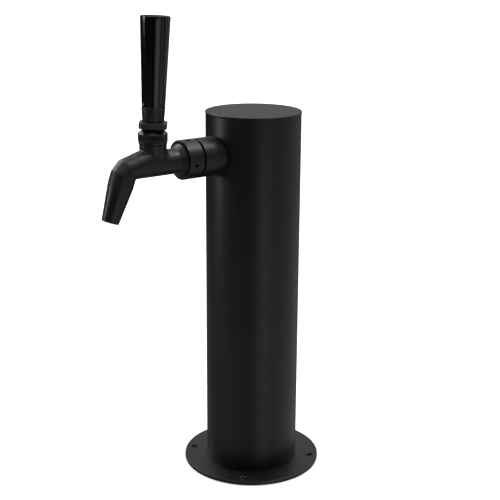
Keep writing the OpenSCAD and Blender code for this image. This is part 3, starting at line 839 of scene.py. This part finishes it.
# ---------------------------------------------------------------- handle
def handle():
    """Round flared grip with four narrow flutes and a softly rounded top."""
    foot, top = 22.6, 89.1
    foot_r, head_r = 8.65, 11.1
    edge, flute_r = 0.9, 1.6
    bore, bore_top = 4.05, 38.5
    side = np.radians(np.concatenate([np.linspace(-45, -13, 9)[:-1], np.linspace(-13, 13, 35),
                                      np.linspace(13, 45, 9)[1:-1]]))
    rows = []

    def outline(r, depth):
        t = r * np.sin(side)
        groove = np.sqrt(np.maximum(flute_r ** 2 - t ** 2, 0)) - (flute_r - depth)
        radius = r - smooth_max(groove, np.zeros_like(t), 0.12) + 0.03
        turns = [side + k * math.pi / 2 for k in range(4)]
        return np.concatenate([np.column_stack([radius * np.cos(a), radius * np.sin(a)]) for a in turns])

    heights = [foot, foot + 0.15, foot + 0.4] + list(np.linspace(foot + 1.2, top - edge, 40))
    for z in heights:
        s = (z - foot) / (top - edge - foot)
        inset = 0.35 if z == foot else (0.12 if z < foot + 0.3 else 0.0)
        depth = 0.02 + (0.43 + 0.4 * s) * min(1.0, max(0.0, (z - foot - 0.6) / 3.0))
        rows.append((outline(foot_r + (head_r - foot_r) * s - inset, depth), z))
    for k in range(1, 8):
        a = math.radians(90 * k / 7)
        inset = edge * (1 - math.cos(a))
        rows.append((outline(head_r - inset, 0.85 - 0.5 * inset), top - edge + edge * math.sin(a)))
    ring = [np.column_stack([o, np.full(len(o), z)]) for o, z in rows]
    last = ring[-1]
    for s, drop in ((0.85, 0.03), (0.6, 0.01), (0.35, 0.0), (0.12, 0.0)):
        r = last.copy()
        r[:, :2] *= s
        r[:, 2] = top - drop
        ring.append(r)
    n = len(last)
    a = np.arctan2(ring[0][:, 1], ring[0][:, 0])
    hole = np.column_stack([bore * np.cos(a), bore * np.sin(a)])
    inner = [np.column_stack([hole, np.full(n, z)]) for z in (bore_top, 30.0, foot + 0.2)]
    ceiling = np.column_stack([hole * 0.05, np.full(n, bore_top)])
    verts, faces = spin(np.array([ceiling] + inner + ring), closed=False)
    faces = faces.tolist() + [list(reversed(range(n))), list(range(len(verts) - n, len(verts)))]
    make("grip", verts, faces, LEVER, "lever", "tap_handle", "handle_black")


handle()


# ---------------------------------------------------------------- studio
CAMERA_AZIMUTH = 53.109          # from -Y towards +X
CAMERA_DISTANCE, CAMERA_HEIGHT = 838.73, 430.42
PITCH, ROLL, YAW = 16.37, -0.357, -0.144
LENS, SENSOR = 76.71024, 36

az = math.radians(CAMERA_AZIMUTH)
th, ro, ya = (math.radians(v) for v in (PITCH, ROLL, YAW))
fwd = Vector((math.sin(ya) * math.cos(th), math.cos(ya) * math.cos(th), -math.sin(th)))
right = Vector((math.cos(ya), -math.sin(ya), 0))
down = fwd.cross(right)
r2 = math.cos(ro) * right + math.sin(ro) * down
d2 = -math.sin(ro) * right + math.cos(ro) * down
basis = Matrix((r2, -d2, -fwd)).transposed().to_4x4()
placing = Matrix.Rotation(az, 4, "Z") @ Matrix.Translation((0, -CAMERA_DISTANCE * MM, CAMERA_HEIGHT * MM))
camera = bpy.data.objects.new("camera", bpy.data.cameras.new("camera"))
camera.data.sensor_width = SENSOR
camera.data.lens = LENS
camera.data.clip_start = 0.05
camera.matrix_world = placing @ basis
bpy.context.scene.collection.objects.link(camera)
bpy.context.scene.camera = camera

# the floor, in metres: pale, seen by the camera, and kept out of reflections
floor_size, floor_z = 40.0, -0.0004
v = [(-floor_size, -floor_size, floor_z), (floor_size, -floor_size, floor_z),
     (floor_size, floor_size, floor_z), (-floor_size, floor_size, floor_z)]
floor_mesh = bpy.data.meshes.new("floor")
floor_mesh.from_pydata(v, [], [(0, 1, 2, 3)])
floor = bpy.data.objects.new("floor", floor_mesh)
bpy.context.scene.collection.objects.link(floor)
ground = Finish("pale_floor")
ground.colour(ground.mix(ground.noise(3), (0.9, 0.9, 0.9), (0.94, 0.94, 0.94)))
ground.b.inputs["Roughness"].default_value = 0.9
ground.b.inputs["Specular IOR Level"].default_value = 0
ground.b.inputs["Emission Color"].default_value = (1, 1, 1, 1)
ground.b.inputs["Emission Strength"].default_value = 0.45
floor.data.materials.append(ground.m)
floor.visible_glossy = False
floor.visible_diffuse = False
floor.visible_shadow = False


def node(kind, **values):
    return add(world.node_tree, kind, **values)


def calc(op, *args):
    n = node("ShaderNodeMath", operation=op)
    for i, v in enumerate(args):
        if isinstance(v, (int, float)):
            n.inputs[i].default_value = v
        else:
            links.new(v, n.inputs[i])
    return n.outputs[0]


def times(a, b):
    return calc("MULTIPLY", a, b)


def less(value):
    """1 minus a value."""
    return calc("SUBTRACT", 1.0, value)


def ramp(value, a, b):
    """0 below a, 1 above b, smooth between."""
    n = node("ShaderNodeMapRange", interpolation_type="SMOOTHERSTEP")
    links.new(value, n.inputs["Value"])
    n.inputs["From Min"].default_value = a
    n.inputs["From Max"].default_value = b
    return n.outputs["Result"]


world = bpy.data.worlds.new("studio")
bpy.context.scene.world = world
world.use_nodes = True
links = world.node_tree.links
direction = node("ShaderNodeTexCoord").outputs["Generated"]


def along(vector):
    n = node("ShaderNodeVectorMath", operation="DOT_PRODUCT")
    links.new(direction, n.inputs[0])
    n.inputs[1].default_value = vector
    return n.outputs["Value"]


# azimuth and elevation of a direction, in degrees; 0 is towards the camera, + to its right
toward = Vector((math.sin(az), -math.cos(az), 0))
rightward = Vector((math.cos(az), math.sin(az), 0))
azimuth = calc("MULTIPLY", calc("ARCTAN2", along(rightward), along(toward)), 180 / math.pi)
elevation = calc("MULTIPLY", calc("ARCSINE", along((0, 0, 1))), 180 / math.pi)


def panel(strength, a0, a1, e0, e1, soft_a, soft_e):
    """A soft-edged light panel between two azimuths and two elevations."""
    inside = times(ramp(azimuth, a0 - soft_a, a0 + soft_a), less(ramp(azimuth, a1 - soft_a, a1 + soft_a)))
    height = times(ramp(elevation, e0 - soft_e, e0 + soft_e), less(ramp(elevation, e1 - soft_e, e1 + soft_e)))
    return times(times(inside, height), strength)


turned = calc("ABSOLUTE", azimuth)
back = ramp(turned, 100, 140)
sides = times(ramp(turned, 88, 112), less(ramp(turned, 140, 165)))
fall = less(times(ramp(elevation, 15, 26), 0.8))
parts = [
    panel(16.0, -91, -84, -3.0, 13, 2.5, 1.5),                    # strip light on the left
    panel(0.1, -97, -66, -2, 20, 9, 5),                           # glow beside the strip
    panel(0.16, -84, -16, -70, -9, 14, 9),                        # low glow on the left
    panel(7.0, -143, -119, 27, 43, 5, 5),                         # small box, back left, high
    panel(22.0, 85, 103, 54, 70, 5, 5),                           # small box, right, high
    panel(0.5, 14, 52, -95, -2, 14, 4),                           # card, front right, low
    panel(0.55, 10, 44, -20, -2, 14, 7),                          # brighter upper part of the card
    panel(0.36, 62, 150, -95, 12, 12, 8),                         # right side wall
    times(less(ramp(elevation, -18, -10)), 0.17),                 # light from below
    times(ramp(elevation, 8, 30), 0.42),                          # lower sky
    times(ramp(elevation, 30, 60), 0.5),                          # ceiling
    times(times(ramp(elevation, 3, 13), back), times(fall, 0.56)),        # backdrop, low
    times(times(ramp(elevation, 14, 32), sides), 1.5),            # back corners, high
]
total = calc("ADD", parts[0], 0.014)
for part in parts[1:]:
    total = calc("ADD", total, part)
lit = node("ShaderNodeBackground")
links.new(total, lit.inputs["Strength"])
plain = node("ShaderNodeBackground")
plain.inputs["Color"].default_value = (1, 1, 1, 1)
plain.inputs["Strength"].default_value = 1
choose = node("ShaderNodeMixShader")       # the camera sees plain white, everything else the lights
links.new(node("ShaderNodeLightPath").outputs["Is Camera Ray"], choose.inputs[0])
links.new(lit.outputs[0], choose.inputs[1])
links.new(plain.outputs[0], choose.inputs[2])
links.new(choose.outputs[0], world.node_tree.nodes["World Output"].inputs["Surface"])
bpy.context.scene.view_settings.view_transform = "Standard"
